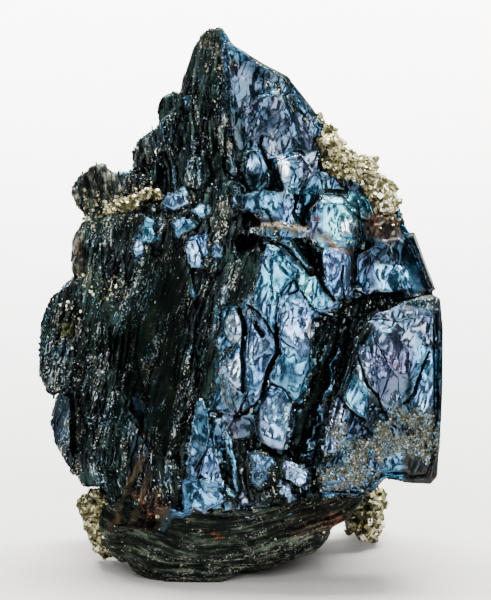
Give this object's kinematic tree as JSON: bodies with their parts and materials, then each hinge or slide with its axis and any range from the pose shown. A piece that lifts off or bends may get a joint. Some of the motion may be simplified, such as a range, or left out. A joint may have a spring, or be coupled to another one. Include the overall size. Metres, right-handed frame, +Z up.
{
  "type": "covellite specimen",
  "caption": "Free-standing mineral specimen: a leaning book of blue covellite plates and ridges, with small crusts of pyrite cubes on its edges.",
  "frame": {"origin": "middle of the specimen's box, on the table under its worn base", "axes": "+Z up, +X to the right as seen from the front, -Y out of the large blue cleavage faces"},
  "size_m": [0.0406, 0.0297, 0.0533],
  "materials": {
    "covellite": "submetallic indigo cleavage faces, duller near-black edges",
    "pyrite": "brassy metallic crystals"
  },
  "bodies": {
    "root": {"covellite_mass": "covellite", "pyrite_right_shoulder": "pyrite", "pyrite_lower_left": "pyrite", "pyrite_rear_foot": "pyrite", "pyrite_left_seam": "pyrite"}
  },
  "joints": []
}
